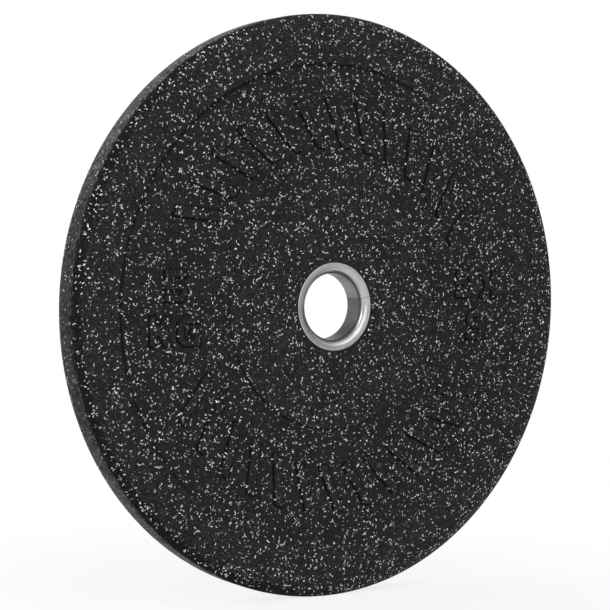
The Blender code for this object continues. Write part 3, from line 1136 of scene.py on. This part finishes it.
def mirrored_floor(tree, place, distance):
    """How bright the floor is in a reflection."""
    away = node(tree, "ShaderNodeVectorMath", operation="NORMALIZE")
    tree.links.new(place, away.inputs[0])
    beside = smooth_range(tree, split_vector(tree, away.outputs["Vector"]).outputs["X"], *DIM_SIDE)
    beyond = smooth_range(tree, distance, *DIM_DISTANCE)
    return math_node(tree, "SUBTRACT", 1.0, times(tree, beside, beyond, MOST_DIM))


def floor_material():
    """A pale matt floor that keeps the shadow near the plate and fades to white further out."""
    made, shader = new_material("pale_floor")
    tree = made.node_tree
    path = node(tree, "ShaderNodeLightPath")
    shade = mix(tree, "MIX", path.outputs["Is Camera Ray"], grey(FLOOR_SHADE), grey(FLOOR_SHADE_SEEN))
    tree.links.new(shade, shader.inputs["Base Color"])
    shader.inputs["Roughness"].default_value = 0.9
    shader.inputs["Specular IOR Level"].default_value = 0.0
    place = object_place(tree)
    distance = vector_length(tree, place)
    paper = smooth_range(tree, distance, *PAPER_FADE, NEAR_WHITE, 1.0)
    seen = seen_directly(tree, mirrored_floor(tree, place, distance))
    plain = node(tree, "ShaderNodeEmission")
    plain.inputs["Strength"].default_value = WHITE
    blend = node(tree, "ShaderNodeMixShader")
    tree.links.new(math_node(tree, "MULTIPLY", paper, seen), blend.inputs["Fac"])
    tree.links.new(shader.outputs["BSDF"], blend.inputs[1])
    tree.links.new(plain.outputs["Emission"], blend.inputs[2])
    tree.links.new(blend.outputs["Shader"], tree.nodes["Material Output"].inputs["Surface"])
    return made


def floor():
    shape = bmesh.new()
    bmesh.ops.create_circle(shape, cap_ends=True, segments=96, radius=FLOOR_RADIUS)
    mesh = bpy.data.meshes.new("studio_floor")
    shape.to_mesh(mesh)
    shape.free()
    mesh.materials.append(floor_material())
    made = link("studio_floor", mesh)
    made.location.z = FLOOR_LEVEL


def grey_ramp(tree, value, stops, top_value):
    """A ramp whose stops are (position, value), with values up to top_value."""
    shown = ramp(tree, value, [(position, level / top_value) for position, level in stops])
    return math_node(tree, "MULTIPLY", shown, top_value)


def studio_world():
    """White where it's seen. The light comes from it too, brighter from some sides than from others."""
    world = bpy.data.worlds.new("studio")
    bpy.context.scene.world = world
    world.use_nodes = True
    tree = world.node_tree
    background = tree.nodes["Background"]
    background.inputs["Color"].default_value = grey(1.0)
    way = split_vector(tree, node(tree, "ShaderNodeTexCoord").outputs["Generated"])
    front = math_node(tree, "MULTIPLY", way.outputs["Y"], -1.0)
    azimuth = math_node(tree, "ARCTAN2", way.outputs["X"], front)
    turn = math_node(tree, "ADD", math_node(tree, "DIVIDE", azimuth, math.tau), 0.5)
    level_low, level_high = [
        grey_ramp(tree, turn, [(0.5 + degrees / 360, level) for degrees, level in light], BRIGHTEST)
        for light in (LOW_LIGHT, HIGH_LIGHT)
    ]
    rise, crown = [
        smooth_range(tree, way.outputs["Z"], *[math.sin(math.radians(elevation)) for elevation in edges])
        for edges in (LOW_EDGE, TOP_EDGE)
    ]
    sky = mix(tree, "MIX", rise, level_low, level_high)
    sky = mix(tree, "MIX", crown, sky, grey(TOP_LIGHT))
    path = node(tree, "ShaderNodeLightPath").outputs
    shown = math_node(tree, "MAXIMUM", path["Is Camera Ray"], path["Is Transmission Ray"])
    level = mix(tree, "MIX", shown, sky, grey(WHITE))
    tree.links.new(level, background.inputs["Strength"])


def direction(azimuth, elevation):
    """Unit vector from the plate, azimuth from -Y towards +X, both in degrees."""
    a, e = math.radians(azimuth), math.radians(elevation)
    return Vector((math.sin(a) * math.cos(e), -math.cos(a) * math.cos(e), math.sin(e)))


floor()
studio_world()

# Camera, from a fit to the photograph's edges

VIEW_AZIMUTH = -34.6224
VIEW_ELEVATION = 1.5689
VIEW_DISTANCE = 1.3639
VIEW_PAN = -0.6956
VIEW_TILT = -0.0235
VIEW_ROLL = -1.0704
PICTURE_PIXELS = 610
FOCAL_PIXELS = 1750.715
SENSOR_MM = 36.0


def photo_camera():
    data = bpy.data.cameras.new("photo_camera")
    data.sensor_width = SENSOR_MM
    data.lens = FOCAL_PIXELS * SENSOR_MM / PICTURE_PIXELS
    data.clip_start = 0.05
    data.clip_end = 50.0
    camera = bpy.data.objects.new("photo_camera", data)
    bpy.context.scene.collection.objects.link(camera)
    back = direction(VIEW_AZIMUTH, VIEW_ELEVATION)
    right = Vector((0.0, 0.0, 1.0)).cross(back).normalized()
    upright = back.cross(right)
    facing = Matrix((right, upright, back)).transposed().to_4x4()
    for angle, axis in ((VIEW_PAN, "Y"), (VIEW_TILT, "X"), (VIEW_ROLL, "Z")):
        facing = facing @ Matrix.Rotation(math.radians(-angle), 4, axis)
    camera.matrix_world = Matrix.Translation(back * VIEW_DISTANCE) @ facing
    bpy.context.scene.camera = camera


photo_camera()
bpy.context.scene.view_settings.view_transform = "Standard"
